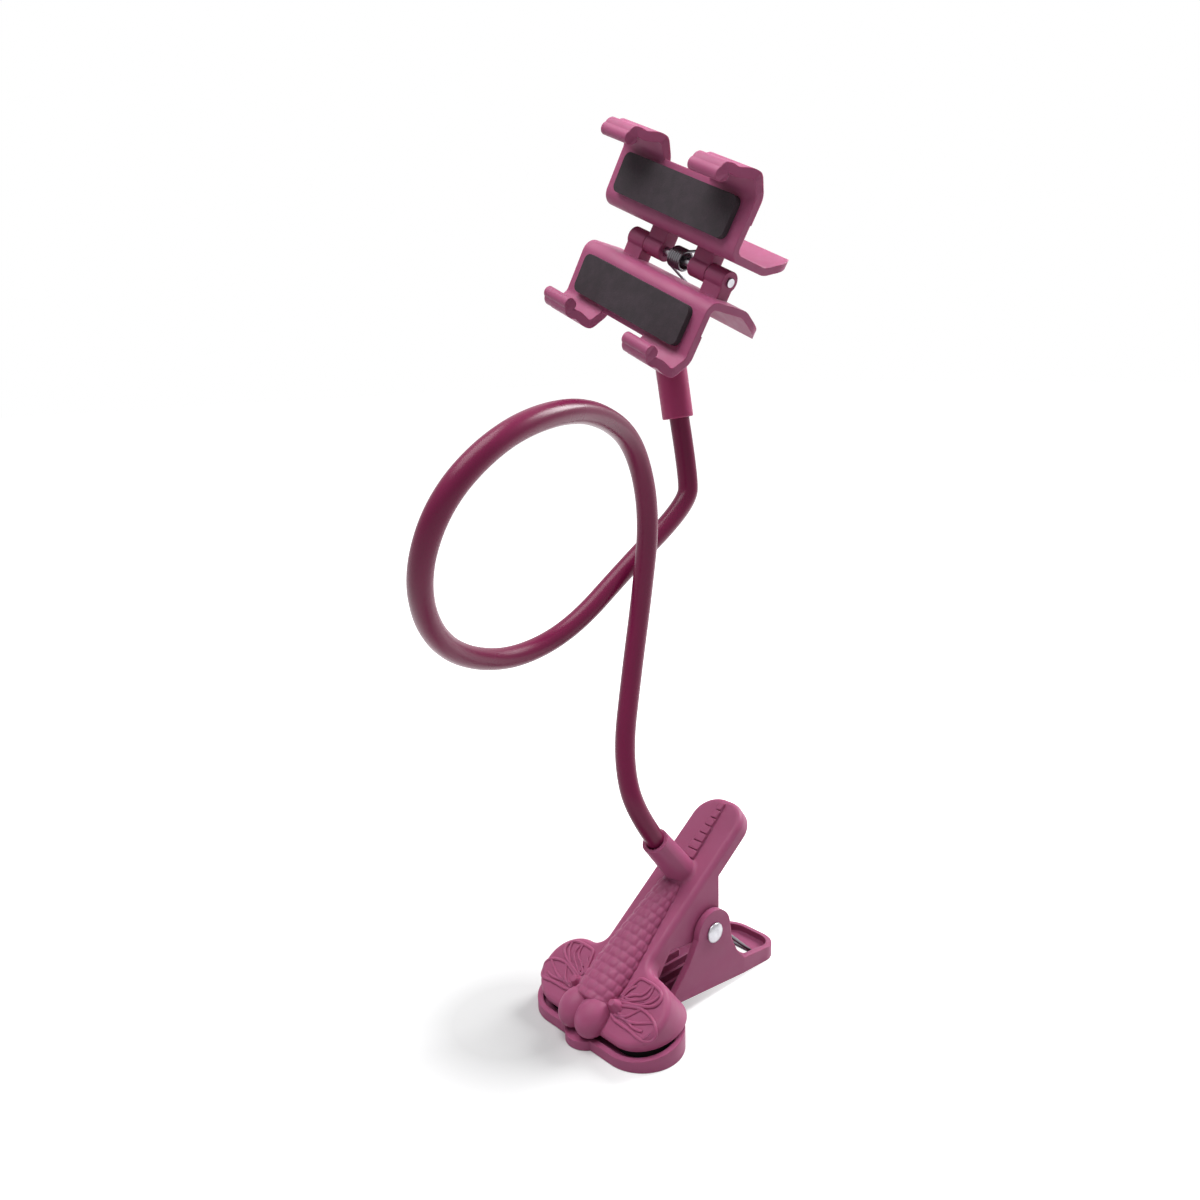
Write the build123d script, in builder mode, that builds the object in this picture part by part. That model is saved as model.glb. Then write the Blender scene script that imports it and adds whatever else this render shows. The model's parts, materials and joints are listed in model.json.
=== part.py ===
"""Gooseneck holder: a spring clip with a dragonfly relief, a bendable arm and a four-claw cradle.

Millimetres, +Z up.  X is across the clip and -Y is the front of its jaws.  The origin is under the
middle of the lower jaw's tray, at Z = 0, where the holder stands.
"""

from math import cos, radians, sin, sqrt, tan
import os

from build123d import *

os.makedirs("parts", exist_ok=True)

# Clip: overall layout
pivot_y = 46.2
pivot_z = 29.6
jaw_rise = 37.0          # slope of the upper jaw's top face, degrees
jaw_front_y = -16.0      # front edge of that face
jaw_front_z = 9.2
jaw_length = 112.0
mating_rise = 9.0        # slope of the plane where the jaws meet, degrees
mating_front_y = -14.4
mating_front_z = 5.5
mating_gap = 1.6         # dark line left between the two rims
running_gap = 0.4        # between the faces that pass each other at the pivot

# Clip: upper jaw
lobe_radius = 15.0
lobe_offset = 19.5       # lobe centres, either side of the middle
lobe_depth = 34.0
beam_half = 13.3
skirt_depth = 7.0
skirt_wall = 2.4
waist_radius = 6.0       # where the beam runs into the lobes
tail_corner = 11.5       # rounding of the beam's rear end
edge_radius = 2.6
cheek_wall = 3.0
cheek_overlap = 1.0      # the cheeks reach this far into the lobes and the skirt
cheek_rear_y = 52.6
cheek_foot_radius = 7.6
cheek_chamfer = 4.0      # slant at the top of the cheek's rear edge
lobe_drop = 11.5         # depth of the lobes' rear wall where the cheeks leave it
window_front = (-23.4, -0.2)   # corners of the window ahead of the pivot, from the pivot
window_rear = (-7.8, -1.8)
hollow_drop = 30.0       # the hollow between the cheeks goes on this far below the pivot
hollow_slant = 8.0
boss_station = 73.8      # along the beam, from the front edge
boss_lean = 1.5          # forward of the beam's normal, degrees
boss_radius = 6.6        # at its foot
boss_taper = 1.6
boss_blend = 1.6         # rounding round its foot
boss_length = 23.8
boss_bore_depth = 20.0

# Clip: lower jaw
tray_margin = 2.2        # the rim stands this far outside the upper lobes
tray_centre_y = 0.0
tray_wall = 2.4
floor_wall = 2.4
ear_wall = 2.9
ear_radius = 10.0
arch_foot_gap = 2.0      # the underside leaves the floor this far ahead of the tray's rear
arch_front_y = 22.6      # highest line of the arched underside
arch_height = 6.2
arch_rear_y = 84.6       # where the underside meets the floor again
web_front_y = 20.1
web_top_z = 9.2
web_slant = (-15.7, -9.1)      # corners of the web's outline, from the pivot
web_rear_high = (11.2, -7.9)
web_rear_low = (14.4, -14.2)
handle_start_y = 65.6
handle_start_z = 9.3
handle_half = 15.0
handle_end_y = 92.6
handle_end_z = 4.8
handle_corner = 11.0
slot_y = 78.1
slot_length = 18.0
slot_width = 6.0
rib_count = 5
rib_pitch = 5.0
rib_height = 4.0
rib_width = 1.4
nose_radius = 9.0        # bulge of the rim that follows the head
nose_reach = 4.0

# Clip: pads, pin and spring
pad_radius = 12.2
pad_recess = 2.2
pad_gap = 0.3
pad_fit = 0.1
pad_y = 1.0              # pad centres
pin_radius = 2.0
pin_fit = 0.05
pin_overhang = 0.9       # length of the pin inside each cap
cap_radius = 3.6
cap_height = 1.9
cap_dome = 0.9           # rounding of a cap as a share of its height
cap_fit = 0.02
coil_wire = 1.6
coil_radius = 4.2
coil_turns = 4
coil_inner_x = 4.0
coil_exit = 60.0         # where the lower legs leave the coils, degrees up from the rear
leg_share = 0.48         # radius of a straight leg as a share of the wire
ring_share = 0.52        # radius of a turn, so that the turns meet
leg_margin = 20.0        # the legs bear this far ahead of the beam's end
leg_gap = 0.05
bar_half = 11.0          # half the crossbar in the handle
bar_bend = 2.6
bar_gap = 0.02

# Dragonfly relief on the upper jaw
relief_height = 0.8
vein_width = 0.9
eye_length = 17.2
eye_width = 14.0
eye_station = 4.0
eye_spread = 5.0
eye_sink = 0.4
shoulder_radius = 3.7
shoulder_height = 4.2
shoulder_taper = 24
shoulder_x = 11.6
shoulder_station = 12.0
fore_wing = {            # outline: root, front side, tip, rear side; across the jaw and along it
    "outline": [(12.5, 10), (21, 6.4), (28.8, 6.6), (31.6, 9.8), (29.6, 13.6), (20, 14.6)],
    "veins": [((14, 10.4), (31, 10.6)), ((20, 10.5), (27.5, 6.6)), ((22.5, 10.5), (28.5, 13.6))],
}
hind_wing = {
    "outline": [(12, 15.6), (20, 16.8), (27.4, 19.6), (27.8, 22.6), (24.6, 25), (16.4, 24.2)],
    "veins": [((13.5, 16.6), (27.6, 21.6)), ((14, 18.5), (24, 25)), ((18.6, 18.8), (20.8, 25.4))],
}
abdomen_sections = [     # station along the jaw, half-width, crown
    (9.0, 9.0, 6.4),
    (30.0, 7.2, 5.6),
    (48.0, 5.4, 4.8),
    (70.0, 4.8, 3.4),
]
ring_first = 15.5
ring_last = 63.0
ring_count = 13
groove_width = 0.6
groove_depth = 0.5
groove_foot = 0.2        # grooves stop this far above the jaw's top
brick_angles = ((-48, -8, 34), (-28, 14, 54))   # joints between bricks, from the crown, in turn
tail_margin = 2.6        # the ridge stops this far from the beam's end
tail_front_half = 3.2
tail_rear_half = 1.1
tail_steps = 7
tail_step_share = 0.84
tail_height = 1.5
tail_base_share = 0.55   # height of the ridge between its steps

# Bendable arm
arm_diameter = 8.0
core_diameter = 4.8
core_fit = 0.1
socket_fit = 0.08
seat_gap = 0.2           # arm's end above the bottom of its bore
arm_route = [            # corners of the arm's run from the boss to the sleeve
    (-8.7, 19.2, 108.4),
    (-11, 28.2, 142.4),
    (-10.2, 33.2, 174.4),
    (-5.2, 33.4, 208.4),
    (1.2, 22.6, 238.4),
    (12.5, -7.9, 250.4),
    (25.7, -39.4, 254.4),
    (32.8, -67.2, 246.4),
    (30.6, -86.3, 229.9),
    (18.7, -88.7, 206.9),
    (1.2, -76.4, 182.9),
    (-13.7, -53.6, 164.4),
    (-23, -22.4, 156.4),
    (-24.2, 7.6, 162.4),
    (-20.3, 35.8, 183.4),
]
arm_first_corner = 39.0  # along the boss axis from the beam
arm_last_corner = 33.0   # below the sleeve's lower end
arm_last_radius = 24.0
bend_share = 0.45        # share of a straight run that one bend may take

# Ball joint at the top of the arm
ball_x, ball_y, ball_z = -28.6, 66.2, 285.4
ball_radius = 7.5
stud_radius = 2.6
sleeve_radius = 5.8
sleeve_length = 30.0
sleeve_edge = 0.8        # rounding of its edges
sleeve_top = 13.5        # sleeve's upper end below the ball centre
sleeve_grip = 20.0       # length of arm inside the sleeve
sleeve_lean_x = -8.0     # lean of the sleeve from upright, degrees
sleeve_lean_y = -2.3
ball_fit = 0.06
stud_fit = 0.03
stud_grip = 6.0          # length of stud inside the sleeve

# Cradle: its frame is at the middle of the gripped device's front face
cradle_pitch = 12.5      # backward tilt of that face, degrees
cradle_roll = 22.5       # turn in its own plane, degrees
cradle_yaw = 2.3         # turn of the whole cradle about the upright, degrees
grip_width = 67.0
cradle_half = 39.0       # half the length of the cradle
claw_inner = 13.5
claw_thick = 3.6
claw_foot = [(-12.0, 0.0), (-2.0, 0.0), (4.9, 5.5)]    # out from the grip's edge, forward of the plate
claw_hook = [(2.5, -1.0), (3.2, 2.7), (-0.4, 3.5)]     # out from the grip's edge, forward of the front face
claw_bends = [5, 3, 3, 2]
claw_tip_radius = 2.5
wall_thick = 3.0
plate_depth = 11.5       # middle of the back plates, behind the front face
plate_edge = 2.0         # the back plates stop this far inside the grip's edge
back_pad_thick = 2.6
back_pad_inset = 6.0     # from the ends of the plates
back_pad_gap = 9.0       # left free across a plate
back_pad_corner = 3.0
hinge_depth = 26.0
barrel_radius = 4.2
knuckle_share = 1.5      # height of a knuckle's root as a share of the barrel's radius
hinge_pin_radius = 1.75
wall_offset = 8.5        # middle of the walls, either side of the hinge axis
wall_lean = 0.7          # the walls lean out by this towards the plates
wall_drop = 5.0          # the handles begin this far behind the hinge
handle_spread = 15.0
handle_depth = 45.0
handle_over = 2.0        # thickness allowed beyond the end of the handles' middle line
handle_bends = [4, 8]    # at the plate and at the handle
handle_round = 9.0
cup_offset = 22.0        # ball below the cradle's middle
cup_depth = 29.0         # ball behind the front face
cup_lean = 15.0          # forward lean of the socket's axis, degrees
cup_wall = 2.2
nut_wall = 2.4
nut_height = 9.0
nut_lip = 1.5
nut_lugs = 12
nut_groove = 1.6
nut_groove_share = 0.4   # groove centres outside the nut, as a share of their radius
thread_fit = 0.1
cup_mouth = 0.6
cup_height = 11.2
lip_radius = 6.4
knuckle_length = 10.0
knuckle_gap = 0.4
knuckle_start = 9.0
grip_spring_turns = 6
grip_spring_wire = 1.3
grip_spring_radius = 3.9
spring_leg_y = 8.0
spring_leg_margin = 7.0  # the spring's legs stop short of the handles' ends

# Frames that the pieces share
jaw_plane = Plane(
    origin=(0, jaw_front_y, jaw_front_z),
    x_dir=(1, 0, 0),
    z_dir=(0, -sin(radians(jaw_rise)), cos(radians(jaw_rise))),
)
mating_plane = Plane(
    origin=(0, mating_front_y, mating_front_z),
    x_dir=(1, 0, 0),
    z_dir=(0, -sin(radians(mating_rise)), cos(radians(mating_rise))),
)
boss_angle = radians(jaw_rise + boss_lean)
boss_plane = Plane(
    origin=jaw_plane.from_local_coords((0, boss_station, 0)),
    x_dir=(1, 0, 0),
    z_dir=(0, -sin(boss_angle), cos(boss_angle)),
)
pivot_axis = Axis((0, pivot_y, pivot_z), (1, 0, 0))
sleeve_up = Vector(
    sin(radians(sleeve_lean_x)), sin(radians(sleeve_lean_y)), cos(radians(sleeve_lean_x))
).normalized()
ball_centre = Vector(ball_x, ball_y, ball_z)
sleeve_plane = Plane(origin=ball_centre, z_dir=sleeve_up)
cradle_front = Vector(0, -cos(radians(cradle_pitch)), sin(radians(cradle_pitch))).rotate(Axis.Z, cradle_yaw)
cradle_rise = Vector(0, sin(radians(cradle_pitch)), cos(radians(cradle_pitch))).rotate(Axis.Z, cradle_yaw)
cradle_level = Vector(1, 0, 0).rotate(Axis.Z, cradle_yaw)
cradle_along = cradle_level * cos(radians(cradle_roll)) - cradle_rise * sin(radians(cradle_roll))
cradle_axes = Plane(origin=(0, 0, 0), x_dir=cradle_along, z_dir=cradle_front)
cradle_origin = ball_centre - cradle_axes.from_local_coords((0, -cup_offset, -cup_depth))
cradle = Plane(origin=cradle_origin, x_dir=cradle_along, z_dir=cradle_front)


def sub_plane(frame, origin, x_dir, z_dir):
    """A plane given in a frame's own coordinates, placed in the holder's frame."""
    zero = frame.from_local_coords((0, 0, 0))
    return Plane(
        origin=frame.from_local_coords(origin),
        x_dir=frame.from_local_coords(x_dir) - zero,
        z_dir=frame.from_local_coords(z_dir) - zero,
    )


def jaw_point(x, along, height=0.0):
    return jaw_plane.from_local_coords((x, along, height))


def abdomen_size(station):
    """Half-width and crown of the abdomen at a station along the jaw."""
    for (near, half, crown), (far, far_half, far_crown) in zip(abdomen_sections, abdomen_sections[1:]):
        if station <= far:
            share = (station - near) / (far - near)
            return half + share * (far_half - half), crown + share * (far_crown - crown)
    return far_half, far_crown


def cross_plane(station):
    """Section across the upper jaw: to the right, then downwards from its top face."""
    return sub_plane(jaw_plane, (0, station, 0), (1, 0, 0), (0, 1, 0))


# Upper jaw: lobes, beam, cheeks, arm boss and relief in one moulding
beam_inner = beam_half - skirt_wall
lobe_rear = 2 * lobe_radius
pad_station = (pad_y - mating_front_y) / cos(radians(mating_rise))
with BuildPart() as upper_jaw:
    with BuildSketch(jaw_plane):
        with Locations((0, lobe_radius)):
            SlotCenterToCenter(2 * lobe_offset, 2 * lobe_radius)
    extrude(amount=-lobe_depth)
    with BuildSketch(jaw_plane) as beam:
        with Locations((0, lobe_radius)):
            SlotCenterToCenter(2 * lobe_offset, 2 * lobe_radius)
        with Locations((0, lobe_radius)):
            Rectangle(2 * beam_half, jaw_length - lobe_radius, align=(Align.CENTER, Align.MIN))
        corners = beam.vertices().filter_by(lambda v: abs(abs(v.X) - beam_half) < 0.1).sort_by(Axis.Y)
        fillet(corners[-2:], tail_corner)
        corners = beam.vertices().filter_by(lambda v: abs(abs(v.X) - beam_half) < 0.1).sort_by(Axis.Y)
        fillet(corners[:2], waist_radius)
    extrude(amount=-skirt_depth)
    top = upper_jaw.faces().sort_by(Axis((0, 0, 0), jaw_plane.z_dir))[-1]
    fillet(top.outer_wire().edges(), edge_radius)
    # boss for the arm
    with BuildSketch(boss_plane.offset(-skirt_wall)):
        Circle(boss_radius)
    extrude(amount=boss_length + skirt_wall, taper=boss_taper)
    boss_foot = upper_jaw.edges().filter_by(GeomType.ELLIPSE).sort_by_distance(boss_plane.origin)[0]
    fillet(boss_foot, boss_blend)
    # channel under the beam
    with BuildSketch(jaw_plane.offset(-skirt_wall)):
        with Locations((0, lobe_rear + skirt_wall)):
            Rectangle(
                2 * beam_inner,
                jaw_length - lobe_rear - beam_half - skirt_wall,
                align=(Align.CENTER, Align.MIN),
            )
    extrude(amount=-lobe_depth, mode=Mode.SUBTRACT)
    # cheeks down to the pivot
    skirt_low = jaw_plane.offset(-skirt_depth + cheek_overlap)
    rear_station = (cheek_rear_y - jaw_front_y) / cos(radians(jaw_rise))
    with BuildSketch(Plane.YZ) as cheek:
        with BuildLine():
            wall_foot = jaw_point(0, lobe_rear - cheek_overlap, -lobe_drop)
            front_top = skirt_low.from_local_coords((0, lobe_rear - cheek_overlap, 0))
            rear_top = skirt_low.from_local_coords((0, rear_station, 0))
            Polyline(
                (front_top.Y, front_top.Z),
                (wall_foot.Y, wall_foot.Z),
                (pivot_y + window_front[0], pivot_z + window_front[1]),
                (pivot_y + window_rear[0], pivot_z + window_rear[1]),
                (pivot_y, pivot_z),
                (cheek_rear_y, pivot_z),
                (cheek_rear_y, rear_top.Z - cheek_chamfer),
                (rear_top.Y, rear_top.Z),
                close=True,
            )
        make_face()
        with Locations((pivot_y, pivot_z)):
            Circle(cheek_foot_radius)
    extrude(amount=beam_half, both=True)
    with BuildSketch(Plane.YZ):
        with BuildLine():
            hollow_front = jaw_point(0, lobe_rear + skirt_wall, -skirt_wall)
            hollow_rear = jaw_point(0, jaw_length - beam_half, -skirt_wall)
            Polyline(
                (hollow_front.Y, hollow_front.Z),
                (hollow_rear.Y, hollow_rear.Z),
                (hollow_rear.Y, pivot_z - hollow_drop),
                (hollow_front.Y + hollow_slant, pivot_z - hollow_drop),
                close=True,
            )
        make_face()
    extrude(amount=beam_half - cheek_wall, both=True, mode=Mode.SUBTRACT)
    # bore for the arm, and the pivot holes
    with BuildSketch(boss_plane.offset(boss_length)):
        Circle(arm_diameter / 2 + socket_fit)
    extrude(amount=-boss_bore_depth, mode=Mode.SUBTRACT)
    with BuildSketch(Plane.YZ):
        with Locations((pivot_y, pivot_z)):
            Circle(pin_radius + pin_fit)
    extrude(amount=beam_half + 1, both=True, mode=Mode.SUBTRACT)
    # abdomen: a tapering half-round ridge, cut into rings and staggered bricks
    for station, half, crown in abdomen_sections:
        with BuildSketch(cross_plane(station)):
            Ellipse(half, crown)
    loft()
    ring_pitch = (ring_last - ring_first) / (ring_count - 1)
    for ring in range(ring_count):
        station = ring_first + ring * ring_pitch
        half, crown = abdomen_size(station)
        with BuildSketch(cross_plane(station)):
            Ellipse(half + groove_depth, crown + groove_depth)
            Ellipse(half - groove_depth, crown - groove_depth, mode=Mode.SUBTRACT)
            with Locations((0, -groove_foot)):
                Rectangle(3 * half, 3 * crown, align=(Align.CENTER, Align.MIN), mode=Mode.SUBTRACT)
        extrude(amount=groove_width, mode=Mode.SUBTRACT)
    for ring in range(ring_count - 1):
        station = ring_first + ring * ring_pitch
        half, crown = abdomen_size(station + ring_pitch / 2)
        with BuildSketch(cross_plane(station)):
            for angle in brick_angles[ring % 2]:
                with Locations((half * sin(radians(angle)), -crown * cos(radians(angle)))):
                    Rectangle(groove_width, 2 * groove_depth, rotation=angle)
        extrude(amount=ring_pitch, mode=Mode.SUBTRACT)
    # head: two large eyes side by side, and a small shoulder beside each
    for side in (1, -1):
        eye_plane = sub_plane(jaw_plane, (side * eye_spread, eye_station, eye_sink), (0, 1, 0), (1, 0, 0))
        with BuildSketch(eye_plane):
            Ellipse(eye_length / 2, eye_width / 2)
            Rectangle(eye_length, eye_width, align=(Align.CENTER, Align.MAX), mode=Mode.SUBTRACT)
        revolve(axis=Axis(eye_plane.origin, eye_plane.x_dir))
        with BuildSketch(jaw_plane.offset(-1)):
            with Locations((side * shoulder_x, shoulder_station)):
                Circle(shoulder_radius)
        extrude(amount=shoulder_height + 1, taper=shoulder_taper)
    # wings: raised outlines and veins on both lobes
    with BuildSketch(jaw_plane):
        for side in (1, -1):
            for wing in (fore_wing, hind_wing):
                root, front, front_tip, tip, rear_tip, rear = [(side * x, y) for x, y in wing["outline"]]
                with BuildLine():
                    ThreePointArc(root, front, front_tip)
                    ThreePointArc(front_tip, tip, rear_tip)
                    ThreePointArc(rear_tip, rear, root)
                trace(line_width=vein_width)
                for vein_start, vein_end in wing["veins"]:
                    with BuildLine():
                        Line((side * vein_start[0], vein_start[1]), (side * vein_end[0], vein_end[1]))
                    trace(line_width=vein_width)
    extrude(amount=relief_height)
    # stepped ridge from the boss to the tail
    tail_front = boss_station + boss_radius
    tail_rear = jaw_length - tail_margin
    step_length = (tail_rear - tail_front) / tail_steps
    with BuildSketch(jaw_plane):
        with BuildLine():
            Polyline(
                (-tail_front_half, tail_front),
                (tail_front_half, tail_front),
                (tail_rear_half, tail_rear),
                (-tail_rear_half, tail_rear),
                close=True,
            )
        make_face()
    extrude(amount=tail_height * tail_base_share)
    for step in range(tail_steps):
        half = tail_front_half + (tail_rear_half - tail_front_half) * (step + 0.5) / tail_steps
        with BuildSketch(jaw_plane):
            with Locations((0, tail_front + step * step_length)):
                Rectangle(2 * half, step_length * tail_step_share, align=(Align.CENTER, Align.MIN))
        extrude(amount=tail_height)
    # mating face and its pad pockets
    split(bisect_by=mating_plane.offset(mating_gap / 2), keep=Keep.TOP)
    with BuildSketch(mating_plane.offset(mating_gap / 2)):
        with Locations((lobe_offset, pad_station), (-lobe_offset, pad_station)):
            Circle(pad_radius)
    extrude(amount=pad_recess, mode=Mode.SUBTRACT)
    upper_jaw.part.label = "upper_jaw"
export_step(upper_jaw.part, "parts/upper_jaw.step")

# Lower jaw: front tray, ears, side webs and squeeze handle in one moulding on an arched underside
ear_inner = beam_half + running_gap
ear_outer = ear_inner + ear_wall
tray_radius = lobe_radius + tray_margin
tray_front_y = tray_centre_y - tray_radius
tray_rear_y = tray_centre_y + tray_radius
mating_slope = tan(radians(mating_rise))
jaw_front_end = tray_front_y - nose_reach - 1
jaw_rear_end = handle_end_y + 1


def rim_height(y):
    """Height of the lower rim's top at a station along the clip."""
    return mating_front_z + (y - mating_front_y) * mating_slope - mating_gap / 2


def underside(lift):
    """Outline of the arched underside from the rear to the front, or a line above it."""
    return [
        (jaw_rear_end, lift),
        (arch_rear_y, lift),
        (arch_front_y, arch_height + lift),
        (tray_rear_y - arch_foot_gap, lift),
        (jaw_front_end, lift),
    ]


def jaw_plan(inset, web_half):
    """Half-outline points of the webs and the handle, mirrored to a closed polygon."""
    rear = handle_end_y - inset
    right = [(web_half, tray_centre_y), (web_half, handle_start_y), (handle_half - inset, rear)]
    return right + [(-x, y) for x, y in reversed(right)]


with BuildPart() as jaw_hollow:
    with BuildSketch() as hollow_plan:
        with Locations((0, tray_centre_y)):
            SlotCenterToCenter(2 * lobe_offset, 2 * (tray_radius - tray_wall))
        with BuildLine():
            Polyline(*jaw_plan(tray_wall, ear_inner), close=True)
        make_face()
        fillet(hollow_plan.vertices().sort_by(Axis.Y)[-2:], handle_corner - tray_wall)
    extrude(amount=pivot_z + ear_radius)
    with BuildSketch(Plane.YZ):
        with BuildLine():
            roof = pivot_z + ear_radius + 1
            Polyline(*underside(floor_wall), (jaw_front_end, roof), (jaw_rear_end, roof), close=True)
        make_face()
    extrude(amount=lobe_offset + tray_radius, both=True, mode=Mode.INTERSECT)

with BuildPart() as lower_jaw:
    with BuildSketch() as plan:
        with Locations((0, tray_centre_y)):
            SlotCenterToCenter(2 * lobe_offset, 2 * tray_radius)
        with Locations((0, tray_front_y - nose_reach + nose_radius)):
            Circle(nose_radius)
        with BuildLine():
            Polyline(*jaw_plan(0, ear_outer), close=True)
        make_face()
        fillet(plan.vertices().sort_by(Axis.Y)[-2:], handle_corner)
    extrude(amount=pivot_z + ear_radius)
    with BuildSketch(Plane.YZ):
        with BuildLine():
            Polyline(
                *underside(0),
                (jaw_front_end, rim_height(jaw_front_end)),
                (tray_rear_y, rim_height(tray_rear_y)),
                (web_front_y, web_top_z),
                (pivot_y + web_slant[0], pivot_z + web_slant[1]),
                (pivot_y - ear_radius, pivot_z),
                (pivot_y + ear_radius, pivot_z),
                (pivot_y + web_rear_high[0], pivot_z + web_rear_high[1]),
                (pivot_y + web_rear_low[0], pivot_z + web_rear_low[1]),
                (handle_start_y, handle_start_z),
                (jaw_rear_end, handle_end_z),
                close=True,
            )
        make_face()
        with Locations((pivot_y, pivot_z)):
            Circle(ear_radius)
    extrude(amount=lobe_offset + tray_radius, both=True, mode=Mode.INTERSECT)
    add(jaw_hollow.part, mode=Mode.SUBTRACT)
    # stiffening ribs on the floor between the webs
    rib_length = pivot_y - arch_front_y
    with BuildSketch(Plane.XY.offset(arch_height)):
        with Locations((0, arch_front_y + rib_length / 2)):
            with GridLocations(rib_pitch, 1, rib_count, 1):
                Rectangle(rib_width, rib_length)
    extrude(amount=floor_wall + rib_height)
    # slot under the spring's crossbar
    with BuildSketch():
        with Locations((0, slot_y)):
            SlotOverall(slot_length, slot_width)
    extrude(amount=handle_start_z, mode=Mode.SUBTRACT)
    with BuildSketch(Plane.YZ):
        with Locations((pivot_y, pivot_z)):
            Circle(pin_radius + pin_fit)
    extrude(amount=ear_outer + 1, both=True, mode=Mode.SUBTRACT)
    lower_jaw.part.label = "lower_jaw"
export_step(lower_jaw.part, "parts/lower_jaw.step")

# Rubber pads in both jaws
for side, side_name in ((1, "right"), (-1, "left")):
    with BuildPart() as upper_pad:
        with BuildSketch(mating_plane.offset(pad_gap / 2)):
            with Locations((side * lobe_offset, pad_station)):
                Circle(pad_radius - pad_fit)
        extrude(amount=(mating_gap - pad_gap) / 2 + pad_recess)
        upper_pad.part.label = "upper_pad_" + side_name
    export_step(upper_pad.part, "parts/upper_pad_" + side_name + ".step")
    with BuildPart() as lower_pad:
        with BuildSketch(Plane.XY.offset(floor_wall)):
            with Locations((side * lobe_offset, pad_y)):
                Circle(pad_radius - pad_fit)
        extrude(amount=pivot_z)
        split(bisect_by=mating_plane.offset(-pad_gap / 2), keep=Keep.BOTTOM)
        lower_pad.part.label = "lower_pad_" + side_name
    export_step(lower_pad.part, "parts/lower_pad_" + side_name + ".step")

# Pivot pin with a domed cap pressed on each end
with BuildPart() as pivot_pin:
    with BuildSketch(Plane.YZ):
        with Locations((pivot_y, pivot_z)):
            Circle(pin_radius)
    extrude(amount=ear_outer + pin_overhang, both=True)
    pivot_pin.part.label = "pivot_pin"
export_step(pivot_pin.part, "parts/pivot_pin.step")

for side, side_name in ((1, "right"), (-1, "left")):
    with BuildPart() as rivet_cap:
        with BuildSketch(Plane.YZ.offset(side * ear_outer)):
            with Locations((pivot_y, pivot_z)):
                Circle(cap_radius)
        extrude(amount=side * cap_height)
        fillet(rivet_cap.edges().sort_by(Axis.X)[-1 if side > 0 else 0], cap_height * cap_dome)
        with BuildSketch(Plane.YZ.offset(side * ear_outer)):
            with Locations((pivot_y, pivot_z)):
                Circle(pin_radius + cap_fit)
        extrude(amount=side * pin_overhang, mode=Mode.SUBTRACT)
        rivet_cap.part.label = "rivet_cap_" + side_name
    export_step(rivet_cap.part, "parts/rivet_cap_" + side_name + ".step")

# Clip spring: two coils on the pin, a crossbar under the handle and two legs under the beam
floor_slope = arch_height / (arch_rear_y - arch_front_y)
bar_z = (arch_rear_y - slot_y) * floor_slope + floor_wall + coil_wire / 2 + bar_gap
exit_y = pivot_y + coil_radius * cos(radians(coil_exit))
exit_z = pivot_z + coil_radius * sin(radians(coil_exit))
leg_station = jaw_length - leg_margin
with BuildPart() as clip_spring:
    for side in (1, -1):
        with BuildSketch(Plane.XZ.offset(-pivot_y)):
            for turn in range(coil_turns):
                with Locations((side * (coil_inner_x + turn * coil_wire), pivot_z + coil_radius)):
                    Circle(coil_wire * ring_share)
        revolve(axis=pivot_axis)
        leg_foot = jaw_point(side * coil_inner_x, leg_station, -skirt_wall - coil_wire / 2 - leg_gap)
        with BuildLine() as upper_leg:
            Line((side * coil_inner_x, pivot_y + coil_radius, pivot_z), leg_foot)
        with BuildSketch(Plane(origin=upper_leg.line @ 0, z_dir=upper_leg.line % 0)):
            Circle(coil_wire * leg_share)
        sweep()
    outer_x = coil_inner_x + (coil_turns - 1) * coil_wire
    with BuildLine() as crossbar:
        FilletPolyline(
            (outer_x, exit_y, exit_z),
            (bar_half, slot_y, bar_z),
            (-bar_half, slot_y, bar_z),
            (-outer_x, exit_y, exit_z),
            radius=bar_bend,
        )
    with BuildSketch(Plane(origin=crossbar.line @ 0, z_dir=crossbar.line % 0)):
        Circle(coil_wire * leg_share)
    sweep()
    clip_spring.part.label = "clip_spring"
export_step(clip_spring.part, "parts/clip_spring.step")

# Bendable arm: soft sleeve over a core that keeps its bend
arm_seat = boss_length - boss_bore_depth + seat_gap
sleeve_low = -(sleeve_top + sleeve_length)
arm_points = [Vector(*boss_plane.from_local_coords((0, 0, arm_seat)))]
arm_points.append(boss_plane.from_local_coords((0, 0, arm_first_corner)))
arm_points += [Vector(*corner) for corner in arm_route]
arm_points.append(sleeve_plane.from_local_coords((0, 0, sleeve_low - arm_last_corner)))
arm_points.append(sleeve_plane.from_local_coords((0, 0, sleeve_low + sleeve_grip)))


def corner_radius(before, corner, after):
    """Largest arc that the two runs at a corner allow."""
    run_in = corner - before
    run_out = after - corner
    reach = bend_share * min(run_in.length, run_out.length)
    return reach / tan(radians(run_in.get_angle(run_out)) / 2)


arm_radii = [corner_radius(*arm_points[i - 1:i + 2]) for i in range(1, len(arm_points) - 1)]
exit_turn = radians((arm_points[1] - arm_points[0]).get_angle(arm_points[2] - arm_points[1]))
arm_radii[0] = min(arm_radii[0], (arm_first_corner - boss_length - 1) / tan(exit_turn / 2))
arm_radii[-1] = min(arm_radii[-1], arm_last_radius)
print("arm radii", [round(r) for r in arm_radii])

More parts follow.
